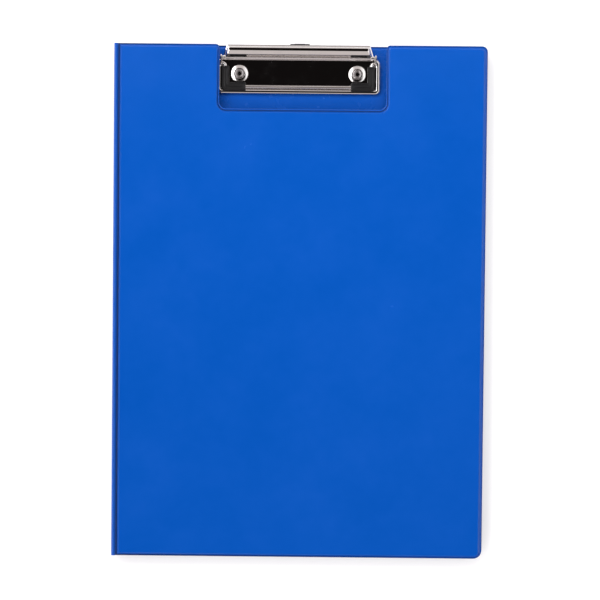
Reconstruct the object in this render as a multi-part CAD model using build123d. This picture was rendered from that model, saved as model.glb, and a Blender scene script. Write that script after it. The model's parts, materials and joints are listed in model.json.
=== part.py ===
from build123d import *
import math
import os

os.makedirs("parts", exist_ok=True)

# Clipboard folder, closed, lying on its back cover.
# X runs from the spine to the open edge, Y towards the clip, Z up.
# The origin is the middle of the back cover's outer face.

# Covers
folder_width = 231.5
folder_height = 319.0
board_thickness = 2.0
foil_thickness = 0.3
paper_gap = 6.0
top_weld = 1.8
bottom_weld = 1.6
open_edge_weld = 2.3
crease_land = 4.0
top_corner_radius = 3.5
bottom_corner_radius = 5.3
panel_corner_radius = 2.5
panel_edge_radius = 0.6

# Creases and spine
crease_clearance = 0.3
spine_board_thickness = 1.2
spine_board_margin = 0.5
spine_inner_margin = 0.05

# Notch in the front cover, round the clip
notch_left_gap = 1.9
notch_right_gap = 3.6
notch_front_gap = 8.85
notch_weld = 2.1
notch_corner_radius = 4.0
notch_mouth_radius = 2.5
notch_panel_mouth_radius = 1.5

# Document pocket inside the front cover
pocket_height = 136.0
pocket_bottom_margin = 2.0
pocket_side_margin = 2.0
pocket_foil = 0.35
pocket_depth = 0.35
pocket_weld = 2.5
pocket_corner_radius = 3.0

# How far a cut runs on past the face that it opens
cut_past = 1.0

# Clip base plate, its depths measured from the top edge of the back cover
clip_centre_x = -1.5
plate_width = 101.9
plate_front = 30.75
plate_rear_margin = 1.2
plate_tongue_length = 4.0
plate_tongue_margin = 0.5
plate_sheet = 0.8
plate_lift = 0.9
rim_width = 2.25
rim_height = 3.0
rim_sheet = 0.6
rim_corner_radius = 1.3
rim_rear_margin = 2.3
rim_tuck = 0.35

# Ears of the base plate
ear_thickness = 0.9
ear_rim_gap = 0.2
ear_rear_margin = 1.8
ear_front_margin = 1.3
ear_top_margin = 1.65
ear_corner_radius = 1.5

# Lever and its pin
lever_axis_depth = 7.7
pin_radius = 1.0
pin_clearance = 0.05
pin_proud = 0.1
lever_sheet = 0.6
lever_plate_gap = 0.3
lever_ear_gap = 0.65
lever_end_lean = 2.9
lever_crest_height = 6.0
lever_crest_front = 3.45
lever_crest_rear = 5.85
lever_rear = 7.9
lever_skirt_drop = 1.0
lever_brow = 1.6
lever_brow_height = 4.8
lever_brow_radius = 1.5
lever_hem_turn = 105.0
lever_shoulder_height = 0.7
lever_rear_radius = 1.4
lever_front_radius = 1.5
skirt_lean = 0.2

# Wire bail
wire_radius = 1.0
bail_axis_offset = 3.5
bail_arm_inset = 1.9
bail_corner_radius = 3.0
bail_stub_radius = 1.3
bail_hole_clearance = 0.05

# Grip pads on the bail
pad_thickness = 2.5
pad_plate_gap = 0.3
pad_rim_gap = 0.2
pad_outer_side = 2.4
pad_inner_side = 2.6
pad_bar_half_width = 2.6
pad_bar_length = 12.95
pad_rear_margin = 1.8
pad_corner_radius = 3.0
pad_end_radius = 0.8
pad_edge_radius = 0.5
pad_wire_clearance = 0.02

# Rivets and washers
rivet_bore_radius = 1.75
rivet_shank_radius = 2.5
rivet_hole_clearance = 0.1
rivet_rim_radius = 3.2
rivet_rim_height = 0.9
rivet_rim_rounding = 0.6
rivet_head_radius = 4.2
rivet_head_thickness = 0.5
rivet_head_recess = 0.15
rivet_head_clearance = 0.2
washer_radius = 5.4
washer_edge = 0.3
washer_height = 1.1
washer_side_gap = 1.0
washer_front_gap = 0.1
boss_radius = 4.5

# Hanging tab
hanger_width = 12.6
hanger_thickness = 0.7
hanger_clearance = 0.1
hanger_rim_gap = 1.1
hanger_tail_length = 2.5
hanger_tail_width = 16.4
hanger_offset = 0.9
hanger_reach = 1.15
hanger_end_radius = 1.4
hanger_lip_length = 0.7
hanger_lip_height = 1.5
hanger_lip_width = 7.0
hanger_lip_radius = 0.7
hanger_hole_radius = 2.75
hanger_hole_out = 6.0
hanger_travel = 13.0
guide_length = 2.5
guide_width = 2.0
guide_clearance = 0.2
guide_stop_clearance = 0.3

# Worked out for the covers
cover_thickness = board_thickness + 2 * foil_thickness
half_cover = cover_thickness / 2
left_edge = -folder_width / 2
right_edge = folder_width / 2
top_edge = folder_height / 2
bottom_edge = -folder_height / 2
crease_x = left_edge + half_cover
cover_left = crease_x + half_cover + crease_clearance
panel_left = crease_x + crease_land
back_middle = half_cover
front_middle = cover_thickness + paper_gap + half_cover
deck = cover_thickness

# Worked out across the clip, from its rim inwards
rim_inner_x = plate_width / 2 - rim_width
ear_outer_x = rim_inner_x - ear_rim_gap
ear_inner_x = ear_outer_x - ear_thickness
rim_end_x = ear_inner_x - rim_tuck
pin_half_length = ear_outer_x + pin_proud
lever_half_width = ear_inner_x - lever_ear_gap
lever_crest_half_width = lever_half_width - lever_end_lean
tongue_half_width = lever_crest_half_width - plate_tongue_margin
bail_arm_x = ear_inner_x - bail_arm_inset
pad_outer_x = bail_arm_x + pad_outer_side
pad_inner_x = bail_arm_x - pad_inner_side
pad_end_x = bail_arm_x - pad_bar_length
rivet_x = pad_inner_x - washer_side_gap - washer_radius
notch_left = clip_centre_x - lever_half_width - notch_left_gap
notch_right = clip_centre_x + plate_width / 2 + notch_right_gap
notch_depth = plate_front + notch_front_gap

# Worked out in depth
rim_inner_front = plate_front - rim_width
pad_front = rim_inner_front - pad_rim_gap
bail_front = pad_front - pad_bar_half_width
pad_bar_rear = bail_front - pad_bar_half_width
rivet_depth = pad_bar_rear - washer_front_gap - washer_radius
bail_axis_depth = lever_axis_depth + bail_axis_offset
pad_rear = bail_axis_depth + pad_rear_margin
ear_rear = lever_axis_depth - ear_rear_margin
ear_front = bail_axis_depth + ear_front_margin
plate_rear = lever_axis_depth - plate_rear_margin
plate_tongue_rear = plate_rear - plate_tongue_length
rim_rear = lever_axis_depth + rim_rear_margin
hanger_tail_depth = rim_inner_front - hanger_rim_gap
hanger_hole_depth = hanger_travel - hanger_hole_out

# Worked out in height, above the back cover's inner face
plate_top = plate_lift + plate_sheet
hem_radius = pin_radius + pin_clearance + lever_sheet
lever_axis_height = plate_top + lever_plate_gap + hem_radius
ear_height = lever_axis_height + ear_top_margin
bail_height = plate_top + pad_plate_gap + pad_thickness / 2
bail_hole_radius = wire_radius + bail_hole_clearance
rivet_hole_radius = rivet_shank_radius + rivet_hole_clearance


def block(x0, x1, y0, y1, z0, z1):
    """A box between two corners."""
    middle = Pos((x0 + x1) / 2, (y0 + y1) / 2, (z0 + z1) / 2)
    return middle * Box(x1 - x0, y1 - y0, z1 - z0)


def rectangle(x0, x1, y0, y1):
    """A flat rectangle between two corners."""
    return Pos((x0 + x1) / 2, (y0 + y1) / 2) * Rectangle(x1 - x0, y1 - y0)


def rounded(face, corners, radius):
    """The face with the named corners rounded."""
    picked = [face.vertices().sort_by_distance((x, y, 0))[0] for x, y in corners]
    return fillet(picked, radius)


def cross_rod(radius, half_length, y, z):
    """A rod along X, centred on the middle plane."""
    return Pos(0, y, z) * Rot(0, 90, 0) * Cylinder(radius, 2 * half_length)


def top_edges(solid):
    """The edges round the highest flat face."""
    return solid.faces().sort_by(Axis.Z)[-1].edges()


def write(name, *solids):
    """Save one named sub-part."""
    shape = solids[0] if len(solids) == 1 else Compound(list(solids))
    export_step(shape, f"parts/{name}.step")


# Covers

def cover_outline(left, inset, corner_radii, notched, notch_inset, mouth_radius):
    """A cover's outline, drawn in from its cut edges by the three insets (right, bottom, top)."""
    right = right_edge - inset[0]
    bottom = bottom_edge + inset[1]
    top = top_edge - inset[2]
    face = rectangle(left, right, bottom, top)
    face = rounded(face, [(right, top)], corner_radii[0])
    face = rounded(face, [(right, bottom)], corner_radii[1])
    if notched:
        x0 = notch_left - notch_inset
        x1 = notch_right + notch_inset
        floor = top_edge - notch_depth - notch_inset
        face = face - rectangle(x0, x1, floor, top_edge + cut_past)
        face = rounded(face, [(x0, floor), (x1, floor)], notch_corner_radius)
        face = rounded(face, [(x0, top), (x1, top)], mouth_radius)
    return face


def flange_outline(notched):
    """The outline of the foil, out to its cut edge."""
    radii = (top_corner_radius, bottom_corner_radius)
    return cover_outline(cover_left, (0, 0, 0), radii, notched, 0, notch_mouth_radius)


def panel_outline(notched, inset=0.0):
    """The outline of the raised panel, or of the board inside it."""
    insets = (open_edge_weld + inset, bottom_weld + inset, top_weld + inset)
    radii = (panel_corner_radius, panel_corner_radius)
    weld = notch_weld + inset
    return cover_outline(panel_left + inset, insets, radii, notched, weld, notch_panel_mouth_radius)


def cover_skin(notched):
    """One foil of a cover: its flat weld round the raised panel, hollow where the board lies."""
    flange = extrude(flange_outline(notched), foil_thickness)
    panel = extrude(panel_outline(notched), half_cover)
    panel = fillet(top_edges(panel), panel_edge_radius)
    cavity = extrude(panel_outline(notched, foil_thickness), board_thickness / 2)
    return flange + panel - cavity


def cover_board(notched):
    """The board of a cover, centred on its middle plane."""
    board = extrude(panel_outline(notched, foil_thickness), board_thickness)
    return Pos(0, 0, -board_thickness / 2) * board


def rivet_drill(radius, z0, z1):
    """The two rivet holes as rods between two heights."""
    y = top_edge - rivet_depth
    length = z1 - z0
    rod = Pos(clip_centre_x, y, (z0 + z1) / 2) * Cylinder(radius, length)
    return Pos(-rivet_x, 0, 0) * rod + Pos(rivet_x, 0, 0) * rod


rivet_head_top = rivet_head_recess + rivet_head_thickness
head_drill = rivet_drill(rivet_head_radius + rivet_head_clearance, -cut_past, rivet_head_top)
shank_drill = rivet_drill(rivet_hole_radius, -cut_past, cover_thickness + cut_past)
plain_skin = cover_skin(False)
notched_skin = cover_skin(True)

back_board = Pos(0, 0, back_middle) * cover_board(False) - shank_drill - head_drill
back_inner_skin = Pos(0, 0, back_middle) * plain_skin - shank_drill
back_outer_skin = Pos(0, 0, back_middle) * mirror(plain_skin, Plane.XY) - shank_drill - head_drill
front_board = Pos(0, 0, front_middle) * cover_board(True)
front_outer_skin = Pos(0, 0, front_middle) * notched_skin
front_inner_skin = Pos(0, 0, front_middle) * mirror(notched_skin, Plane.XY)


# Spine

def spine_strip(x0, x1, z0, z1):
    """A strip as long as the covers."""
    return block(crease_x + x0, crease_x + x1, bottom_edge, top_edge, z0, z1)


def crease(z):
    """A rolled crease along the spine."""
    return Pos(crease_x, 0, z) * Rot(90, 0, 0) * Cylinder(half_cover, folder_height)


outer_x = spine_board_thickness / 2
board_low = back_middle + half_cover + spine_board_margin
board_high = front_middle - half_cover - spine_board_margin
inner_low = back_middle + half_cover + spine_inner_margin
inner_high = front_middle - half_cover - spine_inner_margin
spine_board = spine_strip(-outer_x, outer_x, board_low, board_high)
outer_foil = spine_strip(-outer_x - foil_thickness, -outer_x, back_middle, front_middle)
spine_outer_skin = outer_foil + crease(back_middle) + crease(front_middle)
spine_inner_skin = spine_strip(outer_x, outer_x + foil_thickness, inner_low, inner_high)


# Document pocket

def document_pocket_solid():
    """A foil with a welded rim on three sides, open towards the clip."""
    left = panel_left + pocket_side_margin
    right = right_edge - open_edge_weld - pocket_side_margin
    bottom = bottom_edge + bottom_weld + pocket_bottom_margin
    top = bottom + pocket_height
    ceiling = front_middle - half_cover
    base = ceiling - pocket_depth - pocket_foil
    outline = rectangle(left, right, bottom, top)
    outline = rounded(outline, [(left, bottom), (right, bottom)], pocket_corner_radius)
    sheet = Pos(0, 0, base) * extrude(outline, pocket_foil + pocket_depth)
    hollow = rectangle(left + pocket_weld, right - pocket_weld, bottom + pocket_weld, top + cut_past)
    return sheet - Pos(0, 0, base + pocket_foil) * extrude(hollow, 2 * pocket_depth)


document_pocket = document_pocket_solid()


# Clip, in its own frame: the origin is on the back cover's inner face at its top edge,
# so Y is minus the depth and Z the height above that face.
clip_place = Pos(clip_centre_x, top_edge, deck)


def rim_section():
    """The rolled rim: an arch of sheet, its outer leg down to the cover and its inner leg to the tray."""
    outer = rim_width / 2
    inner = outer - rim_sheet
    spring = rim_height - outer
    arch = Polyline((-outer, 0), (-outer, spring))
    arch += ThreePointArc((-outer, spring), (0, rim_height), (outer, spring))
    arch += Polyline((outer, spring), (outer, plate_lift), (inner, plate_lift), (inner, spring))
    arch += ThreePointArc((inner, spring), (0, spring + inner), (-inner, spring))
    arch += Polyline((-inner, spring), (-inner, 0), (-outer, 0))
    return make_face(arch)


def rim():
    """The rim round the sides and the front of the tray, turned in at its rear ends."""
    side = plate_width / 2 - rim_width / 2
    front = rim_width / 2 - plate_front
    points = [(-rim_end_x, -rim_rear), (-side, -rim_rear), (-side, front)]
    points += [(side, front), (side, -rim_rear), (rim_end_x, -rim_rear)]
    path = FilletPolyline(*points, radius=rim_corner_radius)
    start = Plane(origin=(-rim_end_x, -rim_rear, 0), x_dir=(0, -1, 0), z_dir=(-1, 0, 0))
    return sweep(start * rim_section(), path=path)


def ear(side):
    """An upright ear that holds the lever's pin and the bail's stub."""
    profile = rectangle(-ear_front, -ear_rear, plate_lift, ear_height)
    profile = rounded(profile, [(-ear_front, ear_height), (-ear_rear, ear_height)], ear_corner_radius)
    plate = extrude(Plane.YZ * profile, ear_thickness)
    x0 = ear_inner_x if side > 0 else -ear_inner_x - ear_thickness
    return Pos(x0, 0, 0) * plate


def base_plate():
    """The tray with its rim, ears, rivet bosses and the guides of the hanging tab."""
    side = plate_width / 2 - rim_width + rim_sheet / 2
    front = rim_width - rim_sheet / 2 - plate_front
    plate = block(-side, side, front, -plate_rear, plate_lift, plate_top)
    tongue = tongue_half_width
    plate += block(-tongue, tongue, -plate_rear, -plate_tongue_rear, plate_lift, plate_top)
    plate += rim()
    stop = hanger_tail_depth - hanger_tail_length - hanger_travel - guide_stop_clearance
    for sign in (-1, 1):
        plate += ear(sign)
        plate += Pos(sign * rivet_x, -rivet_depth, plate_lift / 2) * Cylinder(boss_radius, plate_lift)
        guide_x = hanger_offset + sign * (hanger_width / 2 + guide_clearance + guide_width / 2)
        guide_y = guide_length / 2 - stop
        plate += Pos(guide_x, guide_y, plate_lift / 2) * Box(guide_width, guide_length, plate_lift)
    drill_reach = plate_top + cut_past
    for sign in (-1, 1):
        plate -= Pos(sign * rivet_x, -rivet_depth) * Cylinder(rivet_hole_radius, 2 * drill_reach)
    plate -= cross_rod(pin_radius + pin_clearance, plate_width, -lever_axis_depth, lever_axis_height)
    plate -= cross_rod(bail_hole_radius, plate_width, -bail_axis_depth, bail_height)
    return plate


def lever_section():
    """The lever's filled outline from the side, its origin on the hinge axis."""
    rise = lever_crest_height
    brow = (lever_brow, lever_brow_height)
    turn = math.radians(lever_hem_turn)
    touch = (hem_radius * math.cos(turn), hem_radius * math.sin(turn))
    points = [(lever_rear, -lever_skirt_drop), (lever_rear - skirt_lean / 2, 0)]
    points += [(lever_crest_rear, rise), (lever_crest_front, rise)]
    points += [brow, touch, (0, 0), (0, -hem_radius)]
    outline = make_face(Polyline(*points, close=True))
    outline = rounded(outline, [(lever_crest_rear, rise)], lever_rear_radius)
    outline = rounded(outline, [(lever_crest_front, rise)], lever_front_radius)
    return rounded(outline, [brow], lever_brow_radius)


def lever_front_view():
    """The lever's filled outline from the front: upright ends that lean in towards the crest."""
    side = lever_half_width
    crest = lever_crest_half_width
    low = -2 * hem_radius
    points = [(-side, low), (side, low), (side, lever_shoulder_height)]
    points += [(crest, lever_crest_height), (-crest, lever_crest_height)]
    points += [(-side, lever_shoulder_height)]
    return make_face(Polyline(*points, close=True))


def across(section, view, reach):
    """What a side outline and a front outline have in common."""
    return extrude(Plane.YZ * section, reach, both=True) & extrude(Plane.XZ * view, reach, both=True)


def lever_solid():
    """The arched lever: a bent sheet with closed ends and a rolled hem round its pin."""
    reach = lever_rear + lever_half_width
    section = lever_section()
    hollow = offset(section, amount=-lever_sheet)
    hollow += rectangle(hem_radius, lever_rear - lever_sheet - skirt_lean, -2 * hem_radius, 0)
    view = lever_front_view()
    view_hollow = offset(view, amount=-lever_sheet)
    lever = across(section, view, reach) - across(hollow, view_hollow, reach)
    lever += cross_rod(hem_radius, lever_half_width, 0, 0)
    lever -= cross_rod(pin_radius + pin_clearance, reach, 0, 0)
    return Pos(0, -lever_axis_depth, lever_axis_height) * lever


def bail_solid(radius):
    """The wire: stub, arm, front bar, arm, stub."""
    end = pin_half_length
    arm = bail_arm_x
    rear = -bail_axis_depth
    front = -bail_front
    points = [(-end, rear), (-arm, rear), (-arm, front), (arm, front), (arm, rear), (end, rear)]
    radii = [bail_stub_radius, bail_corner_radius, bail_corner_radius, bail_stub_radius]
    path = FilletPolyline(*points, radius=radii)
    start = Plane(origin=(-end, rear, 0), z_dir=(1, 0, 0))
    return Pos(0, 0, bail_height) * sweep(start * Circle(radius), path=path)


def grip_pad():
    """The left corner pad: an L of rubber pushed over the wire."""
    points = [(-pad_outer_x, -pad_rear), (-pad_outer_x, -pad_front), (-pad_end_x, -pad_front)]
    points += [(-pad_end_x, -pad_bar_rear), (-pad_inner_x, -pad_bar_rear), (-pad_inner_x, -pad_rear)]
    outline = make_face(Polyline(*points, close=True))
    outline = rounded(outline, [points[1]], pad_corner_radius)
    outline = rounded(outline, [points[0], points[2], points[3], points[4], points[5]], pad_end_radius)
    pad = Pos(0, 0, bail_height - pad_thickness / 2) * extrude(outline, pad_thickness)
    faces = pad.faces().sort_by(Axis.Z)
    pad = fillet(faces[-1].edges() + faces[0].edges(), pad_edge_radius)
    return pad - bail_solid(wire_radius + pad_wire_clearance)


def washer():
    """A domed washer on the tray."""
    inner = rivet_hole_radius
    crown = rivet_rim_radius
    line = Polyline((inner, 0), (inner, washer_height), (crown, washer_height))
    line += TangentArc((crown, washer_height), (washer_radius, washer_edge), tangent=(1, 0))
    line += Polyline((washer_radius, washer_edge), (washer_radius, 0), (inner, 0))
    return Pos(0, 0, plate_top) * revolve(Plane.XZ * make_face(line), Axis.Z)


def rivet():
    """A tubular rivet: flat head in the back cover, shank, and a rolled rim on the washer."""
    base = rivet_head_recess - deck
    shoulder = base + rivet_head_thickness
    seat = plate_top + washer_height
    crown = seat + rivet_rim_height
    points = [(rivet_bore_radius, base), (rivet_head_radius, base), (rivet_head_radius, shoulder)]
    points += [(rivet_shank_radius, shoulder), (rivet_shank_radius, seat), (rivet_rim_radius, seat)]
    points += [(rivet_rim_radius, crown), (rivet_bore_radius, crown)]
    profile = make_face(Polyline(*points, close=True))
    profile = rounded(profile, [points[6], points[7]], rivet_rim_rounding)
    return revolve(Plane.XZ * profile, Axis.Z)


def pair(solid):
    """A solid at both rivet places."""
    return [clip_place * Pos(sign * rivet_x, -rivet_depth, 0) * solid for sign in (-1, 1)]


def hanger_solid():
    """The hanging tab: a strap with a hole, a wider tail and a raised lip to pull it by."""
    z0 = hanger_clearance
    z1 = hanger_clearance + hanger_thickness
    half = hanger_width / 2
    tail = hanger_tail_width / 2
    outline = rectangle(-half, half, -hanger_tail_depth, hanger_reach)
    outline = rounded(outline, [(-half, hanger_reach), (half, hanger_reach)], hanger_end_radius)
    outline += rectangle(-tail, tail, -hanger_tail_depth, hanger_tail_length - hanger_tail_depth)
    outline -= Pos(0, -hanger_hole_depth) * Circle(hanger_hole_radius)
    strap = Pos(0, 0, z0) * extrude(outline, hanger_thickness)
    lip_half = hanger_lip_width / 2
    lip_rear = hanger_reach - hanger_lip_length
    lip = block(-lip_half, lip_half, lip_rear, hanger_reach, z0, z1 + hanger_lip_height)
    lip = fillet(lip.edges().filter_by(Axis.Y).group_by(Axis.Z)[-1], hanger_lip_radius)
    return Pos(hanger_offset, 0, 0) * (strap + lip)


write("back_board", back_board)
write("back_outer_skin", back_outer_skin)
write("back_inner_skin", back_inner_skin)
write("front_board", front_board)
write("front_outer_skin", front_outer_skin)
write("front_inner_skin", front_inner_skin)
write("document_pocket", document_pocket)
write("spine_board", spine_board)
write("spine_outer_skin", spine_outer_skin)
write("spine_inner_skin", spine_inner_skin)
write("clip_base_plate", clip_place * base_plate())
hinge_pin = cross_rod(pin_radius, pin_half_length, -lever_axis_depth, lever_axis_height)
write("lever_hinge_pin", clip_place * hinge_pin)
write("clip_lever", clip_place * lever_solid())
write("bail_wire", clip_place * bail_solid(wire_radius))
left_pad = grip_pad()
write("left_grip_pad", clip_place * left_pad)
write("right_grip_pad", clip_place * mirror(left_pad, Plane.YZ))
write("rivet_washers", *pair(washer()))
write("clip_rivets", *pair(rivet()))
write("hanger_tab", clip_place * hanger_solid())
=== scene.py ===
import json
import math

import bmesh
import bpy
import numpy as np
from mathutils import Euler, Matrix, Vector


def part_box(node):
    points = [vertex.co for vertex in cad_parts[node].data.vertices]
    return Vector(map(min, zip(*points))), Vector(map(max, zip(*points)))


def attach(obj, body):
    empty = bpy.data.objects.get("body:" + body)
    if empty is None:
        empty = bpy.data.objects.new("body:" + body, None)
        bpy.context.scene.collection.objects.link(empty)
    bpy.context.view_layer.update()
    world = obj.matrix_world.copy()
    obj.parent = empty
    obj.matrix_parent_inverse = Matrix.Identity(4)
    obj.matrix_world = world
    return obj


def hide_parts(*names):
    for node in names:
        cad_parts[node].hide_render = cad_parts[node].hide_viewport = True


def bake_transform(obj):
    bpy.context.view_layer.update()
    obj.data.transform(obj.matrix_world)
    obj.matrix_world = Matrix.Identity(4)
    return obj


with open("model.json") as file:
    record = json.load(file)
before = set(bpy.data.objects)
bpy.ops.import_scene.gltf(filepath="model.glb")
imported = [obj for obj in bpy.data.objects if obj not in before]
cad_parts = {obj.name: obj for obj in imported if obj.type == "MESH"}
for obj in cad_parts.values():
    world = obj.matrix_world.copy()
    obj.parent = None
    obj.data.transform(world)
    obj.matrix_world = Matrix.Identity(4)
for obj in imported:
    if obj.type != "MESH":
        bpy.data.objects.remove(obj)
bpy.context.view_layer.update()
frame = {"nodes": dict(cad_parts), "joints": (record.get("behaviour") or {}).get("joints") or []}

mm = 0.001
scene = bpy.context.scene
print("frame loaded:", len(frame["nodes"]), "nodes")


# Reading the frame, in millimetres

def boxOf(node):
    low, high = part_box(node)
    return np.array(low) / mm, np.array(high) / mm


def axisOf(jointName):
    joint = next(j for j in frame["joints"] if j["name"] == jointName)
    return np.array(joint["pos_m"]) / mm


# Curves, worked out as whole arrays

def unit(rows):
    return rows / np.linalg.norm(rows, axis=1, keepdims=True)


def bearings(angle):
    return np.stack([np.cos(angle), np.sin(angle)], axis=1)


# an arc's points are centre + radius * (cos, sin) of evenly spaced angles in degrees
def arc(centre, radius, start, end, steps):
    return np.array(centre) + radius * bearings(np.radians(np.linspace(start, end, steps)))


def rectangle(x0, y0, x1, y1):
    return [(x0, y0), (x1, y0), (x1, y1), (x0, y1)]


# a cubic through the points, with each slope half the way from the neighbour before to the one after
def flow(points, steps):
    points = np.asarray(points, float)
    ahead = np.vstack([points[1:], 2 * points[-1] - points[-2]])
    before = np.vstack([2 * points[0] - points[1], points[:-1]])
    slope = (ahead - before) / 2
    t = np.linspace(0, 1, steps, endpoint=False)[None, :, None]
    p0, p1, m0, m1 = (a[:, None, :] for a in (points[:-1], points[1:], slope[:-1], slope[1:]))
    cubic = (2 * t**3 - 3 * t**2 + 1) * p0 + (t**3 - 2 * t**2 + t) * m0
    cubic += (3 * t**2 - 2 * t**3) * p1 + (t**3 - t**2) * m1
    return np.vstack([cubic.reshape(-1, points.shape[1]), points[-1:]])


# the outline's corners are moved in by each side's inset, then turned into arcs:
# an arc's centre lies on the corner's bisector, radius / sin(half angle) away
def ring(corners, radii, insets, steps=8):
    corners = np.asarray(corners, float)
    insets = np.broadcast_to(np.asarray(insets, float), len(corners))
    side = unit(np.roll(corners, -1, axis=0) - corners)
    inward = np.stack([-side[:, 1], side[:, 0]], axis=1)
    inwardBefore = np.roll(inward, 1, axis=0)
    insetBefore = np.roll(insets, 1)
    lean = np.sum(inward * inwardBefore, axis=1)
    shareHere = (insets - insetBefore * lean) / (1 - lean**2)
    shareBefore = (insetBefore - insets * lean) / (1 - lean**2)
    corners = corners + shareHere[:, None] * inward + shareBefore[:, None] * inwardBefore
    back = -np.roll(side, 1, axis=0)
    half = np.arccos(np.clip(np.sum(back * side, axis=1), -1, 1)) / 2
    bisector = unit(back + side)
    pieces = []
    for i, radius in enumerate(radii):
        if radius <= 0:
            pieces.append(corners[i:i + 1])
            continue
        centre = corners[i] + bisector[i] * radius / math.sin(half[i])
        first = corners[i] + back[i] * radius / math.tan(half[i]) - centre
        last = corners[i] + side[i] * radius / math.tan(half[i]) - centre
        turn = math.pi - 2 * half[i]
        share = np.linspace(0, 1, steps)[:, None]
        pieces.append(centre + (np.sin((1 - share) * turn) * first + np.sin(share * turn) * last) / math.sin(turn))
    return np.vstack(pieces)


# Meshes

mesher = {"merge": 0.002, "shortest": 0.0005, "flatWeight": 80}


def linked(name, data):
    thing = bpy.data.objects.new(name, data)
    scene.collection.objects.link(thing)
    return thing


def addPiece(name, points, faces, material, body, flats=False, sharpAngle=40, paintedShade=None):
    mesh = bpy.data.meshes.new(name)
    mesh.from_pydata((np.asarray(points) * mm).tolist(), [], faces)
    if paintedShade is not None:  # how much painted shade darkens each point, in welds, grooves and at cut edges
        mesh.attributes.new("paintedShade", "FLOAT", "POINT").data.foreach_set("value", np.ravel(paintedShade).astype(np.float32))
    shape = bmesh.new()
    shape.from_mesh(mesh)
    bmesh.ops.remove_doubles(shape, verts=shape.verts, dist=mesher["merge"] * mm)
    bmesh.ops.dissolve_degenerate(shape, edges=shape.edges, dist=mesher["shortest"] * mm)
    bmesh.ops.recalc_face_normals(shape, faces=shape.faces)
    shape.to_mesh(mesh)
    shape.free()
    mesh.shade_smooth()
    mesh.set_sharp_from_angle(angle=math.radians(sharpAngle))
    piece = linked(name, mesh)
    mesh.materials.append(material)
    if flats:  # keeps wide flat faces evenly shaded next to their rounded edges
        weighted = piece.modifiers.new("flats", "WEIGHTED_NORMAL")
        weighted.keep_sharp = True
        weighted.weight = mesher["flatWeight"]
    if body:
        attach(piece, body)
    return piece


# quads between neighbouring rows of a grid, wrapped round where the rows or columns close
def quads(rows, columns, closedRows=False, closedColumns=True, first=0):
    r = np.arange(rows if closedRows else rows - 1)[:, None]
    c = np.arange(columns if closedColumns else columns - 1)[None, :]
    nextRow = (r + 1) % rows
    nextColumn = (c + 1) % columns
    corners = [r * columns + c, r * columns + nextColumn, nextRow * columns + nextColumn, nextRow * columns + c]
    return (np.stack(corners, axis=-1).reshape(-1, 4) + first).tolist()


# a shell of stacked rings, its first and last ring filled by one face each
def shell(rings, first=0):
    rings = np.asarray(rings, float)
    count, length = rings.shape[:2]
    faces = quads(count, length, first=first)
    faces.append((np.arange(length)[::-1] + first).tolist())
    faces.append((np.arange(length) + (count - 1) * length + first).tolist())
    return rings.reshape(-1, 3), faces


def joined(parts):
    points = []
    faces = []
    start = 0
    for partPoints, partFaces in parts:
        points.append(partPoints)
        faces += [[i + start for i in face] for face in partFaces]
        start += len(partPoints)
    return np.vstack(points), faces


# rings (u, v) at heights h become points by the given order of axes
def placed(outline, height, axes="uvh"):
    flat = {"u": outline[:, 0], "v": outline[:, 1], "h": np.broadcast_to(height, len(outline))}
    return np.stack([flat[letter] for letter in axes], axis=1)


# stacked rings over an outline: each level is an inset and a height, and the radii shrink by the inset
def stacked(corners, radii, levels, axes="uvh", least=0.01):
    convex = turning(corners)
    return shell([placed(ring(corners, np.maximum(np.asarray(radii) - convex * inset, least), inset), height, axes)
                  for inset, height in levels])


# a slab with rounded edges: its rings step in by edge * (1 - sin) while they rise by edge * (1 - cos)
def slab(corners, radii, low, high, edge, axes="uvh"):
    angle = np.radians(np.linspace(0, 90, 4))
    stepIn = edge * (1 - np.sin(angle))
    rise = edge * (1 - np.cos(angle))
    levels = list(zip(stepIn, low + rise)) + list(zip(stepIn[::-1], high - rise[::-1]))
    return stacked(corners, radii, levels, axes)


# a sheet between two grids of points, closed by a band round their edges
def sheet(upper, lower):
    rows, columns = upper.shape[:2]
    count = rows * columns
    faces = quads(rows, columns, closedColumns=False)
    faces += quads(rows, columns, closedColumns=False, first=count)
    edge = np.concatenate([np.arange(columns), np.arange(1, rows) * columns + columns - 1,
                           (rows - 1) * columns + np.arange(columns - 2, -1, -1),
                           np.arange(rows - 2, 0, -1) * columns])
    after = np.roll(edge, -1)
    faces += np.stack([edge, after, after + count, edge + count], axis=1).tolist()
    return np.concatenate([upper, lower]).reshape(-1, 3), faces


# +1 at corners that point out of a counterclockwise outline, -1 at corners that point in
def turning(corners):
    corners = np.asarray(corners, float)
    before = corners - np.roll(corners, 1, axis=0)
    after = np.roll(corners, -1, axis=0) - corners
    return np.sign(before[:, 0] * after[:, 1] - before[:, 1] * after[:, 0])


# a closed profile (across, height) carried along a flat path: across is measured along the path's left normal
def carried(path, profile, height=0.0):
    path = np.asarray(path, float)
    heading = unit(np.gradient(path, axis=0))
    left = np.stack([-heading[:, 1], heading[:, 0]], axis=1)
    flat = path[:, None, :] + left[:, None, :] * profile[None, :, :1]
    level = np.broadcast_to(profile[None, :, 1:] + height, flat.shape[:2] + (1,))
    return shell(np.concatenate([flat, level], axis=2))


# a closed profile (radius, height) turned about an upright axis: x = radius * cos(turn), y = radius * sin(turn)
def turned(profile, centre, steps=96):
    profile = np.asarray(profile, float)
    turn = np.linspace(0, 2 * np.pi, steps, endpoint=False)[:, None]
    x = centre[0] + profile[None, :, 0] * np.cos(turn)
    y = centre[1] + profile[None, :, 0] * np.sin(turn)
    z = np.broadcast_to(profile[None, :, 1], x.shape)
    points = np.stack([x, y, z], axis=-1)
    return points.reshape(-1, 3), quads(steps, len(profile), closedRows=True)


# Shader groups, shared by the materials

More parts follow.
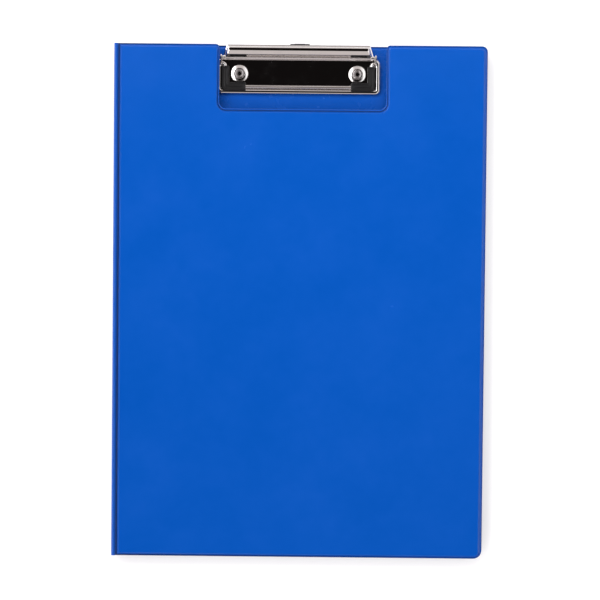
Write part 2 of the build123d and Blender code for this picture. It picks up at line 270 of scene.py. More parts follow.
# a group takes a position, colours and numbers, and gives a colour, a roughness and a height
def openGroup(name, inputs):
    group = bpy.data.node_groups.new(name, "ShaderNodeTree")
    group.interface.new_socket("Position", in_out="INPUT", socket_type="NodeSocketVector")
    for label, value in inputs.items():
        kind = "NodeSocketColor" if isinstance(value, tuple) else "NodeSocketFloat"
        group.interface.new_socket(label, in_out="INPUT", socket_type=kind).default_value = value
    for label in ("Color", "Roughness", "Height"):
        kind = "NodeSocketColor" if label == "Color" else "NodeSocketFloat"
        group.interface.new_socket(label, in_out="OUTPUT", socket_type=kind)
    return group, group.nodes.new("NodeGroupInput").outputs


def closeGroup(group, color, rough, height):
    result = group.nodes.new("NodeGroupOutput").inputs
    for label, source in (("Color", color), ("Roughness", rough), ("Height", height)):
        group.links.new(source, result[label])
    return group


# a socket gets a fixed value or a link
def feed(tree, socket, value):
    if isinstance(value, (int, float, tuple)):
        socket.default_value = value
    else:
        tree.links.new(value, socket)


def add(tree, kind, settings=None, **links):
    node = tree.nodes.new(kind)
    for name, value in (settings or {}).items():
        if hasattr(node, name):
            setattr(node, name, value)
        else:
            node.inputs[name].default_value = value
    for name, source in links.items():
        tree.links.new(source, node.inputs[name])
    return node


def sums(tree, operation, *values):
    node = add(tree, "ShaderNodeMath", {"operation": operation})
    for socket, value in zip(node.inputs, values):
        feed(tree, socket, value)
    return node.outputs[0]


# the sum of each value times its weight
def weighted(tree, *terms):
    parts = [sums(tree, "MULTIPLY", value, weight) for value, weight in terms]
    total = parts[0]
    for part in parts[1:]:
        total = sums(tree, "ADD", total, part)
    return total


def stretched(tree, value, low, high, toLow, toHigh):
    node = add(tree, "ShaderNodeMapRange")
    labels = ("Value", "From Min", "From Max", "To Min", "To Max")
    for label, source in zip(labels, (value, low, high, toLow, toHigh)):
        feed(tree, node.inputs[label], source)
    return node.outputs["Result"]


def mixed(tree, share, first, second):
    node = add(tree, "ShaderNodeMix", {"data_type": "RGBA"})
    for index, value in ((0, share), (6, first), (7, second)):
        feed(tree, node.inputs[index], value)
    return node.outputs[2]


def noise(tree, place, scale, detail, roughness=0.5, distortion=0.0):
    settings = {"Detail": detail, "Roughness": roughness, "Distortion": distortion}
    node = add(tree, "ShaderNodeTexNoise", settings, Vector=place)
    feed(tree, node.inputs["Scale"], scale)
    return node.outputs["Fac"]


# welded foil: fine pores, a soft cloudiness and the faint print of the board under it, with painted shade darkening
# it in welds and grooves
def foilGrainGroup():
    group, given = openGroup("foilGrain", {"Base": (0, 0, 1, 1), "Cloud": 0.06, "Pore Size": 0.35, "Roughness": 0.4,
                                           "Seam": 0.0})
    place = given["Position"]
    streak = noise(group, place, 160.0, 2.0, 0.6)
    pores = noise(group, place, sums(group, "DIVIDE", 1000.0, given["Pore Size"]), 3.0, 0.62)
    dents = add(group, "ShaderNodeTexVoronoi", {"Scale": 900.0}, Vector=place).outputs["Distance"]
    soft = weighted(group, (noise(group, place, 28.0, 4.0, 0.55), 0.7), (streak, 0.3))
    swing = sums(group, "SUBTRACT", soft, 0.5)
    light = sums(group, "ADD", 1.0, sums(group, "MULTIPLY", sums(group, "MULTIPLY", swing, given["Cloud"]), 4.0))
    # painted shade: the colour is scaled down by the shade value in welds and grooves
    light = sums(group, "MULTIPLY", light, sums(group, "SUBTRACT", 1.0, given["Seam"]))
    shade = add(group, "ShaderNodeHueSaturation", Color=given["Base"], Value=light).outputs["Color"]
    rough = sums(group, "ADD", given["Roughness"], sums(group, "MULTIPLY", swing, 0.3))
    return closeGroup(group, shade, rough, weighted(group, (pores, 0.6), (dents, 0.25), (streak, 1.2)))


# plated metal: hair scratches along one direction, smudges where it is touched, and a slow waviness
def platingGroup():
    group, given = openGroup("plating", {"Base": (0.8, 0.8, 0.8, 1), "Smudge": 0.12, "Roughness": 0.05, "Wave": 0.5})
    place = given["Position"]
    along = add(group, "ShaderNodeMapping", {"Scale": (1.0, 14.0, 14.0)}, Vector=place).outputs["Vector"]
    scratch = noise(group, along, 220.0, 5.0, 0.7)
    smear = stretched(group, noise(group, place, 90.0, 5.0, 0.6), 0.5, 0.75, 0.0, given["Smudge"])
    fine = stretched(group, scratch, 0.35, 0.7, 0.0, 0.03)
    rough = sums(group, "ADD", given["Roughness"], sums(group, "ADD", smear, fine))
    clean = sums(group, "SUBTRACT", 1.0, sums(group, "MULTIPLY", smear, 0.5))
    dull = add(group, "ShaderNodeHueSaturation", Color=given["Base"], Value=clean).outputs["Color"]
    wave = noise(group, place, 45.0, 1.0)
    return closeGroup(group, dull, rough, weighted(group, (wave, given["Wave"]), (scratch, 0.02)))


# fibres and flecks of pressed board, or dust that settles on rubber
def fibreGroup():
    group, given = openGroup("fibre", {"Base": (0.4, 0.38, 0.35, 1), "Fleck": (0.2, 0.18, 0.16, 1), "Amount": 0.4,
                                       "Size": 0.6, "Roughness": 0.76})
    place = given["Position"]
    grains = sums(group, "DIVIDE", 1000.0, given["Size"])
    long = add(group, "ShaderNodeMapping", {"Scale": (0.2, 1.0, 1.0)}, Vector=place).outputs["Vector"]
    strands = noise(group, long, grains, 4.0, 0.7, 0.6)
    speck = noise(group, place, grains, 2.0, 0.8)
    mask = stretched(group, strands, 0.45, 0.7, 0.0, given["Amount"])
    smooth = sums(group, "SUBTRACT", given["Roughness"], 0.12)
    rough = stretched(group, speck, 0.3, 0.7, smooth, sums(group, "ADD", given["Roughness"], 0.12))
    color = mixed(group, mask, given["Base"], given["Fleck"])
    return closeGroup(group, color, rough, weighted(group, (strands, 1.0), (speck, 0.5)))


foilGrain = foilGrainGroup()
plating = platingGroup()
fibre = fibreGroup()


# Materials

# its constants sit on the shader's own sockets
def plain(name, constants):
    material = bpy.data.materials.new(name)
    material.use_nodes = True
    shader = material.node_tree.nodes["Principled BSDF"]
    for label, value in constants.items():
        shader.inputs[label].default_value = value
    return material, shader


# one shader fed by a group
def finishFrom(name, group, values, constants, bump):
    material, shader = plain(name, constants)
    tree = material.node_tree
    place = add(tree, "ShaderNodeTexCoord").outputs["Object"]
    effect = add(tree, "ShaderNodeGroup", {"node_tree": group, **values}, Position=place)
    if "Seam" in effect.inputs:
        # painted shade: the darkness stored on each point is read here and darkens the colour
        paintedShade = add(tree, "ShaderNodeAttribute", {"attribute_name": "paintedShade"})
        tree.links.new(paintedShade.outputs["Fac"], effect.inputs["Seam"])
    relief = add(tree, "ShaderNodeBump", {"Strength": bump["strength"], "Distance": bump["depth"] * mm},
                 Height=effect.outputs["Height"])
    tree.links.new(effect.outputs["Color"], shader.inputs["Base Color"])
    tree.links.new(effect.outputs["Roughness"], shader.inputs["Roughness"])
    tree.links.new(relief.outputs["Normal"], shader.inputs["Normal"])
    return material


foilLook = {"base": (0.0012, 0.069, 0.374, 1), "inside": (0.0012, 0.065, 0.36, 1),
            "bump": {"strength": 0.25, "depth": 0.03}}


def foil(name, base, cloud, poreSize, roughness, bump):
    return finishFrom(name, foilGrain,
                      {"Base": base, "Cloud": cloud, "Pore Size": poreSize, "Roughness": roughness},
                      {"IOR": 1.5, "Specular IOR Level": 0.36}, bump)


blueFoil = foil("blueFoil", foilLook["base"], 0.05, 0.4, 0.21, foilLook["bump"])
blueFoilInside = foil("blueFoilInside", foilLook["inside"], 0.08, 0.5, 0.26, foilLook["bump"])
pocketFoil = foil("pocketFoil", foilLook["inside"], 0.05, 0.3, 0.25, {"strength": 0.2, "depth": 0.02})
greyboard = finishFrom("greyboard", fibre,
                       {"Base": (0.42, 0.4, 0.37, 1), "Fleck": (0.16, 0.14, 0.12, 1), "Amount": 0.5, "Size": 0.6},
                       {"IOR": 1.45}, {"strength": 0.5, "depth": 0.08})

chromeLook = {"base": (0.82, 0.80, 0.79, 1), "dark": (0.42, 0.40, 0.40, 1),
              "bump": {"strength": 0.2, "depth": 0.02}}


def chrome(name, roughness, smudge, wave, base=chromeLook["base"]):
    return finishFrom(name, plating, {"Base": base, "Roughness": roughness, "Smudge": smudge, "Wave": wave},
                      {"Metallic": 1.0, "IOR": 2.5}, chromeLook["bump"])


chromePlate = chrome("chromePlate", 0.03, 0.10, 0.6)
chromeLever = chrome("chromeLever", 0.05, 0.14, 0.5)
chromeWire = chrome("chromeWire", 0.06, 0.06, 0.2)
chromeWasher = chrome("chromeWasher", 0.07, 0.08, 0.4)
chromeRivet = chrome("chromeRivet", 0.2, 0.2, 1.0, chromeLook["dark"])
steelPin = chrome("steelPin", 0.28, 0.2, 0.2, (0.55, 0.55, 0.56, 1))
blackRubber = finishFrom("blackRubber", fibre,
                         {"Base": (0.004, 0.0038, 0.0044, 1), "Fleck": (0.011, 0.011, 0.012, 1),
                          "Amount": 0.35, "Size": 0.5, "Roughness": 0.4},
                         {"IOR": 1.5, "Specular IOR Level": 0.3}, {"strength": 0.3, "depth": 0.04})
darkTab = finishFrom("darkTab", fibre,
                     {"Base": (0.012, 0.012, 0.013, 1), "Fleck": (0.05, 0.05, 0.05, 1), "Amount": 0.25,
                      "Size": 0.8, "Roughness": 0.45},
                     {"IOR": 1.5, "Specular IOR Level": 0.25}, {"strength": 0.2, "depth": 0.03})
print("materials made:", len(bpy.data.materials))


# a solid that stays as it is gets a finish of its own
def dress(node, material):
    frame["nodes"][node].data.materials.clear()
    frame["nodes"][node].data.materials.append(material)


# Camera

view = {"aim": (0.878, 1.243, 10.2), "tilt": -1.826, "pan": 0.195, "roll": 0.555, "distance": 1100.0, "lens": 106.06}


def addCamera():
    data = bpy.data.cameras.new("camera")
    data.lens = view["lens"]
    data.sensor_width = 36.0
    data.clip_start = 0.01
    camera = linked("camera", data)
    camera.rotation_euler = Euler([math.radians(view[key]) for key in ("tilt", "pan", "roll")], "XYZ")
    away = camera.rotation_euler.to_matrix() @ Vector((0, 0, view["distance"]))
    camera.location = (Vector(view["aim"]) + away) * mm
    scene.camera = camera


addCamera()


# Covers: each is a board between two foils, welded together round its edge

frontOuterLow, frontOuterHigh = boxOf("front_outer_skin")
frontBoardLow, frontBoardHigh = boxOf("front_board")
coverHalf = frontOuterHigh[2] - axisOf("front_crease")[2]
frontMiddle = axisOf("front_crease")[2]
backMiddle = axisOf("back_crease")[2]
boardHalf = (frontBoardHigh[2] - frontBoardLow[2]) / 2
foilThickness = coverHalf - boardHalf
plateLow, plateHigh = boxOf("clip_base_plate")
leverLow, leverHigh = boxOf("clip_lever")
halfLever = (leverHigh[0] - leverLow[0]) / 2

cover = {
    "left": frontOuterLow[0], "right": frontOuterHigh[0], "bottom": frontOuterLow[1], "top": frontOuterHigh[1],
    "cutRadiusTop": 3.5, "cutRadiusBottom": 5.3, "panelRadius": 2.1,
    "foot": {"bottom": 1.15, "right": 1.1, "top": 1.1, "left": 0.95,
             "notchRight": 1.1, "notchFloor": 1.55, "notchLeft": 1.0},  # cut edge to the shoulder's foot
    "shoulderSteps": 12, "drape": 1.15, "supportWidth": 1.5,
    # the weld: share of its width, height over the foil's thickness, bead height and how much painted shade darkens
    # it
    "weld": [(0.94, -0.10, 0.0, 0.74), (0.84, -0.12, 0.0, 0.74), (0.68, -0.02, 0.2, 0.5), (0.55, 0.0, 0.8, 0.0),
             (0.4, 0.0, 1.0, 0.0), (0.25, 0.0, 0.7, 0.05)],
    # the cut edge: share of the weld's width, share of the foil's thickness, bead height and how much painted shade
    # darkens it
    "edge": [(0.12, 0.95, 0.3, 0.45), (0, 0.55, 0, 0.6), (0, 0, 0, 0.65)],
    # painted shade: how dark the shoulder's foot, the weld along the outer edges and the weld beside the spine are
    # painted, and below which share the weld takes that shade
    "footSeam": 0.6, "edgeSeam": 0.4, "spineSeam": 0.75, "shadeFrom": 0.8,
}
notch = {
    "left": leverLow[0] - 1.9, "right": plateHigh[0] + 3.6, "floor": plateLow[1] - 8.85,
    "cutRadius": 4.0, "panelRadius": 6.2, "mouthCut": 2.5, "mouthPanel": 1.3, "bead": 0.28,
    "reach": 6.0, "fade": 2.0, "mouth": 1.5, "mouthFade": 4.0,
}
# from the cut edge to the top of the shoulder, where the board's edge lies
cover["brow"] = {
    "bottom": frontBoardLow[1] - cover["bottom"], "right": cover["right"] - frontBoardHigh[0],
    "top": cover["top"] - frontBoardHigh[1], "left": 1.8,
    "notchRight": 2.2, "notchFloor": 2.7, "notchLeft": 1.9,
}


def coverCorners(notched):
    left, right, bottom, top = (cover[key] for key in ("left", "right", "bottom", "top"))
    corners = [(left, bottom), (right, bottom), (right, top)]
    sides = ["bottom", "right", "top"]
    cut = [0, cover["cutRadiusBottom"], cover["cutRadiusTop"]]
    panel = [0, cover["panelRadius"], cover["panelRadius"]]
    if notched:
        corners += [(notch["right"], top), (notch["right"], notch["floor"])]
        corners += [(notch["left"], notch["floor"]), (notch["left"], top)]
        sides += ["notchRight", "notchFloor", "notchLeft", "top"]
        cut += [notch["mouthCut"], notch["cutRadius"], notch["cutRadius"], notch["mouthCut"]]
        panel += [notch["mouthPanel"], notch["panelRadius"], notch["panelRadius"], notch["mouthPanel"]]
    corners.append((left, top))
    return np.array(corners), sides + ["left"], np.array(cut + [0.0]), np.array(panel + [0.0])


# how far in a ring lies: 0 at the cut edge, 1 at the shoulder's foot, 2 at its brow, 3 well onto the panel
def coverRing(share, notched):
    corners, sides, cut, panel = coverCorners(notched)
    steps = [[0, cover["foot"][side], cover["brow"][side], cover["brow"][side] + cover["supportWidth"]]
             for side in sides]
    insets = [np.interp(share, [0, 1, 2, 3], step) for step in steps]
    mix = min(share / 2, 1.0)
    return ring(corners, cut * (1 - mix) + panel * mix, insets)


# 1 along the notch's cut edge and 0 elsewhere, faded in at its sides and over its mouth
def notchMask(outline):
    x, y = outline[:, 0], outline[:, 1]
    beside = np.minimum(x - notch["left"], notch["right"] - x) + notch["reach"]
    below = np.clip((cover["top"] - notch["mouth"] - y) / notch["mouthFade"], 0, 1)
    return np.clip(beside / notch["fade"], 0, 1) * below * (y > notch["floor"] - notch["reach"])


# the foil's height over the weld: flat weld, then half a cosine wave up the board's edge, then the flat panel
def foilShell(name, middle, outward, notched, material, body):
    rings = []
    dark = []

    def level(share, height, bead=0.0, paintedShade=0.0):
        outline = coverRing(share, notched)
        inNotch = notchMask(outline) if notched else np.zeros(len(outline))
        rings.append(placed(outline, middle + outward * (height + bead * notch["bead"] * inNotch)))
        # away from the notch the whole narrow weld is painted darker, as painted shade from the shoulder
        shade = np.where(outline[:, 0] < cover["left"] + cover["foot"]["left"], cover["spineSeam"], cover["edgeSeam"])
        dark.append(np.maximum(paintedShade, shade * (1 - inNotch)) if share < cover["shadeFrom"] else paintedShade * inNotch)

    level(3, coverHalf)
    # painted shade deepens down the shoulder towards its foot
    for k in range(cover["shoulderSteps"] + 1):
        part = k / cover["shoulderSteps"]
        drape = 0.5 + 0.5 * math.cos(math.pi * part**cover["drape"])
        level(2 - part, foilThickness + (coverHalf - foilThickness) * drape, paintedShade=cover["footSeam"] * part**3)
    for share, height, bead, paintedShade in cover["weld"]:
        level(share, foilThickness + height, bead, paintedShade)
    for share, height, bead, paintedShade in cover["edge"]:
        level(share, foilThickness * height, bead, paintedShade)
    level(2, 0)
    level(2, boardHalf)
    return addPiece(name, *shell(rings), material, body, flats=True, paintedShade=np.array(dark))


for name, middle, outward, material, body, node, slot in (
        ("frontOuterFoil", frontMiddle, 1, blueFoil, "front_cover", "front_outer_skin", "blue_foil"),
        ("frontInnerFoil", frontMiddle, -1, blueFoilInside, "front_cover", "front_inner_skin", "blue_foil_inside"),
        ("backInnerFoil", backMiddle, 1, blueFoilInside, "back_cover", "back_inner_skin", "blue_foil_inside"),
        ("backOuterFoil", backMiddle, -1, blueFoil, "back_cover", "back_outer_skin", "blue_foil")):
    piece = foilShell(name, middle, outward, body == "front_cover", material, body)
    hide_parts(node)
dress("front_board", greyboard)
dress("back_board", greyboard)
print("covers made")


# Spine: a narrow board in its foils, joined to each cover by a crease foil

spineBoardLow, spineBoardHigh = boxOf("spine_board")
creaseX = axisOf("front_crease")[0]
# the fold's two points mark where the crease foil passes from the spine to the cover; their places are worked out but
# not used
spine = {"outer": spineBoardLow[0] - foilThickness, "inner": boxOf("spine_inner_skin")[1][0], "edge": 0.2,
         "cornerRadius": 0.3, "boardInEnds": 1.7, "boardInSides": 0.3, "boardEdge": 0.05, "boardRadius": 0.1,
         "bead": coverHalf, "beadFrom": 172, "beadTo": 62, "rows": 9, "valleySeam": 0.7, "valleyFrom": 0.8,
         "valleyWidth": 0.8, "fold": [(0.9, -1.8), (2.0, -0.7)]}


def spinePart(name, inEnds, inSides, radius, low, high, edge, material, flats):
    outline = rectangle(cover["bottom"] + inEnds, spineBoardLow[2] + inSides, cover["top"] - inEnds,
                        spineBoardHigh[2] - inSides)
    return addPiece(name, *slab(outline, [radius] * 4, low, high, edge, "huv"), material, "spine", flats)


# a crease's section: up the spine, round a bead about the hinge axis, and out along the cover's weld,
# then back inside the fold; its points lie in millimetres from the hinge axis, and outward is +1 for the
# front cover and -1 for the back cover
def creaseSection(middle, outward):
    spineEnd = abs(middle - (spineBoardHigh[2] if outward > 0 else spineBoardLow[2]))
    weldEnd = cover["left"] - creaseX
    outerFace = spine["outer"] - creaseX
    innerFace = spine["inner"] - creaseX
    bead = arc((0, 0), spine["bead"], spine["beadFrom"], spine["beadTo"], 23)
    outerLine = np.vstack([
        flow([(outerFace, -spineEnd), (outerFace - 0.06, -spineEnd * 0.7), (outerFace - 0.3, -0.5), bead[0]], 5)[:-1],
        bead,
        flow([bead[-1], (1.0, 0.66), (weldEnd - 0.28, foilThickness + 0.06), (weldEnd, foilThickness)], 5)[1:]])
    innerLine = flow([(weldEnd, -foilThickness), (1.15, -foilThickness - 0.02), (0.78, -0.38), (0.52, -0.62),
                      (0.5, -1.0), (innerFace - 0.15, -spineEnd * 0.85), (innerFace, -spineEnd)], 5)
    section = np.vstack([outerLine, innerLine])
    return section * (1, outward) + (creaseX, middle)


def creaseFoil(name, middle, outward, bodies):
    section = creaseSection(middle, outward)
    rows = np.linspace(cover["bottom"], cover["top"], spine["rows"])
    rings = [placed(section, y, "uhv") for y in rows]
    # painted shade: the crease foil is painted darker in the valley between its bead and the cover's shoulder
    inValley = np.clip((section[:, 0] - creaseX - spine["valleyFrom"]) / spine["valleyWidth"], 0, 1)
    paintedShade = np.tile(spine["valleySeam"] * inValley, len(rows))
    piece = addPiece(name, *shell(rings), blueFoil, None, sharpAngle=50, paintedShade=paintedShade)
    ends = [((creaseX + x) * mm, 0.0, (middle + outward * z) * mm) for x, z in spine["fold"]]
    if bodies[0] != "spine":
        ends.reverse()
    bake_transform(piece)


sleeve = spinePart("spineFoil", 0, 0, spine["cornerRadius"], spine["outer"], spine["inner"], spine["edge"], blueFoil,
                   True)
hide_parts("spine_outer_skin", "spine_inner_skin")
board = spinePart("spineBoard", spine["boardInEnds"], spine["boardInSides"], spine["boardRadius"], spineBoardLow[0],
                  spineBoardHigh[0], spine["boardEdge"], greyboard, False)
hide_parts("spine_board")
creaseFoil("frontCreaseFoil", frontMiddle, 1, ("spine", "front_cover"))
creaseFoil("backCreaseFoil", backMiddle, -1, ("back_cover", "spine"))
print("spine and creases made")


# Document pocket inside the front cover: welded on three sides, its fourth stands open towards the clip

pocketLow, pocketHigh = boxOf("document_pocket")
pocket = {"weld": 2.5, "slope": 1.6, "foil": 0.3, "cornerRadius": 3.0, "blend": 5.0, "gap": 0.02,
          "coarseFrom": 8.0, "openEdge": 0.1}


# the sheet hangs below its weld by depth * s(distance), where s is a smooth step from the weld's inner edge
def documentPocket():
    width = pocketHigh[0] - pocketLow[0]
    length = pocketHigh[1] - pocketLow[1]
    weld = pocket["weld"]
    fine = np.concatenate([[0, 0.12], np.linspace(0.6, weld - 0.2, 4), np.linspace(weld, weld + pocket["slope"], 9)])
    coarse = pocket["coarseFrom"]
    u = np.concatenate([fine, np.linspace(coarse, width - coarse, 24), width - fine[::-1]])
    v = np.concatenate([fine, np.linspace(coarse, length - 1, 30), [length - pocket["openEdge"], length]])
    grid = np.stack(np.meshgrid(u, v), axis=-1)
    radius = pocket["cornerRadius"]
    cutBack = radius - np.sqrt(radius**2 - np.clip(radius - grid[..., 1], 0, radius)**2)
    near = np.clip(1 - grid[..., 0] / pocket["blend"], 0, 1)
    far = np.clip(1 - (width - grid[..., 0]) / pocket["blend"], 0, 1)
    x = grid[..., 0] + cutBack * (near - far)
    fromWeld = np.minimum(np.minimum(grid[..., 0], width - grid[..., 0]), grid[..., 1]) - weld
    step = np.clip(fromWeld / pocket["slope"], 0, 1)
    sag = step * step * (3 - 2 * step)
    depth = pocketHigh[2] - pocketLow[2] - pocket["foil"] - pocket["gap"]
    ceiling = pocketHigh[2] - pocket["gap"] - depth * sag
    upper = np.stack([pocketLow[0] + x, pocketLow[1] + grid[..., 1], ceiling], axis=-1)
    piece = addPiece("documentPocketFoil", *sheet(upper, upper - (0, 0, pocket["foil"])), pocketFoil, "front_cover")
    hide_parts("document_pocket")


documentPocket()
print("pocket made")


# Clip base plate: a tray with a rolled rim, two ears, rivet bosses and the tab's guides

clipX = axisOf("lever_hinge")[0]
leverAxis = axisOf("lever_hinge")
bailAxis = axisOf("bail_hinge")
deck = plateLow[2]
washersLow, washersHigh = boxOf("rivet_washers")
hangerLow, hangerHigh = boxOf("hanger_tab")
rivetReach = (washersHigh[0] - washersLow[0]) / 2
washerRadius = (washersHigh[1] - washersLow[1]) / 2
rivetY = (washersHigh[1] + washersLow[1]) / 2
rivetX = rivetReach - washerRadius
plateTop = washersLow[2]
hangerX = (hangerLow[0] + hangerHigh[0]) / 2

plate = {
    "sheet": 0.8, "rimWidth": 3.1, "rimHeight": 3.0, "rimArch": 1.1, "rimSheet": 0.6, "rimChamfer": 0.06,
    "rimEndGap": 0.35, "cornerRadius": 1.6, "rearGap": 2.3, "rear": 1.2, "fillet": 0.75, "frontTrim": 0.6,
    "earThickness": 0.9, "earInset": 2.45, "earRadius": 1.5, "earEdge": 0.15, "earRear": 1.8, "earFront": 1.3,
    "earRise": 1.65, "tongueInset": 3.4, "tongueOverlap": 0.5, "bossRadius": 4.5, "bossBore": 2.7, "weld": 0.1,
    "strapHalf": 6.3, "guideWidth": 2.0, "guideLength": 2.5, "guideGap": 0.2, "stopGap": 0.3, "tailLength": 2.5,
    "travel": 13.0, "fineTo": 1.6, "coarseFrom": 3.0, "tongueRadius": 0.6, "tongueEdge": 0.12, "guideRadius": 0.3,
    "guideEdge": 0.08, "square": 0.2,
}
halfPlate = (plateHigh[0] - plateLow[0]) / 2
frontY = plateLow[1] + plate["frontTrim"]
rimInnerX = halfPlate - plate["rimWidth"]
earOuterX = halfPlate - plate["earInset"]
earInnerX = earOuterX - plate["earThickness"]
plateRearY = leverAxis[1] + plate["rear"]
plateUnder = plateTop - plate["sheet"]


# the tray's height rises to its rim by a quarter circle: r - sqrt(r^2 - (r - distance)^2)
def trayPart():
    half = plate["rimSheet"] / 2
    wall = rimInnerX + half
    inFromSide = np.concatenate([[0], np.linspace(half, plate["fineTo"], 14)])
    coarse = plate["coarseFrom"]
    u = np.concatenate([-wall + inFromSide, np.linspace(-wall + coarse, wall - coarse, 41), wall - inFromSide[::-1]])
    frontWall = frontY + plate["rimWidth"] - half
    v = np.concatenate([frontWall + inFromSide, np.linspace(frontWall + coarse, plateRearY, 12)])
    grid = np.stack(np.meshgrid(u, v), axis=-1)
    distance = np.minimum(wall - np.abs(grid[..., 0]), grid[..., 1] - frontWall) - half
    radius = plate["fillet"]
    gap = np.clip(radius - distance, 0, radius * 0.999)
    rise = radius - np.sqrt(radius**2 - gap**2)
    top = np.stack([grid[..., 0] + clipX, grid[..., 1], plateTop + rise], axis=-1)
    return sheet(top, top * (1, 1, 0) + (0, 0, plateUnder))


# a path round the clip: from a start behind, down the left side, round the front corner, and mirrored
def clipPath(start, side, rear, front, radius, steps):
    left = np.vstack([start, np.linspace((-side, rear), (-side, front + radius), steps[0])[1:-1],
                      arc((-side + radius, front + radius), radius, 180, 270, steps[1]),
                      np.linspace((-side + radius, front), (0, front), steps[2])[1:]])
    return np.vstack([left, left[-2::-1] * (-1, 1)]) + (clipX, 0)


# the rim's section is half an ellipse on two legs: the outer one stands on the cover, the inner ends at the tray
def rimPart():
    outer = plate["rimWidth"] / 2
    inner = outer - plate["rimSheet"]
    rise = plate["rimArch"]
    spring = plate["rimHeight"] - rise
    low = plateUnder - deck
    chamfer = plate["rimChamfer"]
    over = arc((0, 0), 1.0, 180, 0, 29) * (outer, rise) + (0, spring)
    under = arc((0, 0), 1.0, 0, 180, 15) * (inner, rise - plate["rimSheet"]) + (0, spring)
    arch = np.vstack([[(-outer, chamfer)], over, [(outer, low), (inner, low)], under,
                      [(-inner, 0.0), (-outer + chamfer, 0.0)]])
    side = halfPlate - outer
    rear = leverAxis[1] - plate["rearGap"]
    front = frontY + outer
    end = earInnerX - plate["rimEndGap"]
    r = plate["cornerRadius"]
    start = np.vstack([np.linspace((-end, rear), (-side + r, rear), 4)[:-1],
                       arc((-side + r, rear - r), r, 90, 180, 12)])
    return carried(clipPath(start, side, rear - r, front, r, (8, 12, 12)), arch, deck)


# a rectangle's corner radii: nearly square where it starts, rounder where it ends
def endRadii(end, start=plate["square"]):
    return [start] * 2 + [end] * 2


def earPart(sideSign):
    outline = rectangle(bailAxis[1] - plate["earFront"], plateUnder, leverAxis[1] + plate["earRear"],
                        leverAxis[2] + plate["earRise"])
    near, far = np.sort(clipX + sideSign * np.array([earInnerX, earOuterX]))
    return slab(outline, endRadii(plate["earRadius"]), near, far, plate["earEdge"], "huv")


def tonguePart():
    half = halfLever - plate["tongueInset"]
    outline = rectangle(clipX - half, plateRearY - plate["tongueOverlap"], clipX + half, plateHigh[1])
    return slab(outline, endRadii(plate["tongueRadius"]), plateUnder, plateTop - 0.01, plate["tongueEdge"])


def bossPart(sideSign):
    top = plateUnder + plate["weld"]
    radius = plate["bossRadius"]
    bore = plate["bossBore"]
    profile = [(bore, deck), (radius - 0.1, deck), (radius, deck + 0.1), (radius, top), (bore, top)]
    return turned(profile, (clipX + sideSign * rivetX, rivetY))


def guidePart(sideSign):
    beside = plate["strapHalf"] + plate["guideGap"]
    near, far = np.sort(hangerX + sideSign * np.array([beside, beside + plate["guideWidth"]]))
    front = hangerLow[1] + plate["tailLength"] + plate["travel"] + plate["stopGap"]
    outline = rectangle(near, front, far, front + plate["guideLength"])
    return slab(outline, [plate["guideRadius"]] * 4, deck, plateUnder + plate["weld"], plate["guideEdge"])


parts = [trayPart(), rimPart(), tonguePart()]
for sideSign in (-1, 1):
    parts += [earPart(sideSign), bossPart(sideSign), guidePart(sideSign)]
basePlate = addPiece("clipBasePlate", *joined(parts), chromePlate, "back_cover", flats=True, sharpAngle=50)
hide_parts("clip_base_plate")
print("base plate made")


# Lever: a stamped cap, arched from its rolled hem up to the crest and down a short rear skirt

lever = {"sheet": 0.6, "crestLean": 2.2, "endRadius": 0.9, "planRadius": 0.9, "shoulder": 0.7, "hem": 1.25,
         "hemSheet": 0.2, "hemEdge": 0.2, "taper": 2.4, "rear": 7.9, "flare": 0.7, "flareFrom": -0.15,
         "flareHeight": 0.3, "endRound": 0.8, "least": 0.05,
         "corners": [(7.9, -1.0), (7.9, -0.12), (7.2, -0.05), (5.95, 6.0), (3.8, 6.0), (1.6, 4.8), (-0.1, 2.46),
                     (-0.35, 1.2), (-0.1, -1.0)],
         "radii": [0.05, 0.28, 0.35, 0.9, 0.9, 1.2, 0.3, 0.2, 0.05]}


# the section's outline from the side gives a rear and a front line, each read off by height
def leverRings(inset):
    radii = np.maximum(np.array(lever["radii"]) - turning(lever["corners"]) * inset, lever["least"])
    outline = ring(lever["corners"], radii, [inset] * (len(radii) - 1) + [0], 14)
    top = outline[:, 1].max()
    crest = np.nonzero(outline[:, 1] > top - 0.001)[0]
    split = crest[len(crest) // 2]
    rear, front = (line[np.argmin(line[:, 1]):] for line in (outline[:split], outline[split:][::-1]))
    height = np.unique(np.round(np.concatenate([rear[:, 1], front[:, 1]]), 3))
    run = lever["crestLean"] / (leverHigh[2] - leverAxis[2] - lever["shoulder"])
    roundOff = np.clip((height - (top - lever["endRadius"])) / lever["endRadius"], 0, 1)
    end = halfLever - inset - run * np.clip(height - lever["shoulder"], 0, None)
    end -= lever["flare"] * np.clip((height - lever["flareFrom"]) / lever["flareHeight"], 0, 1)
    end -= lever["endRadius"] * (1 - np.sqrt(1 - roundOff**2)) * lever["endRound"]
    rings = []
    for z, x in zip(height, end):
        y0 = np.interp(z, front[:, 1], front[:, 0])
        y1 = np.interp(z, rear[:, 1], rear[:, 0])
        rearX = x - lever["taper"] * (y1 - y0) / lever["rear"]
        corners = [(-x, y0), (x, y0), (rearX, y1), (-rearX, y1)]
        radius = max(min(lever["planRadius"] - inset, (y1 - y0) * 0.45), lever["least"])
        rings.append(placed(ring(corners, [radius] * 4, 0, 6), z))
    return np.array(rings)


def hemPart():
    half = halfLever
    edge = lever["hemEdge"]
    outer = lever["hem"]
    bore = outer - lever["hemSheet"]
    circle = arc((0, 0), 1.0, 0, 360, 49)[:-1]
    rows = [(outer - edge, -half), (outer, edge - half), (outer, half - edge), (outer - edge, half), (bore, half),
            (bore, -half)]
    points = np.vstack([placed(circle * radius, x, "huv") for radius, x in rows])
    return points, quads(len(rows), len(circle), closedRows=True)


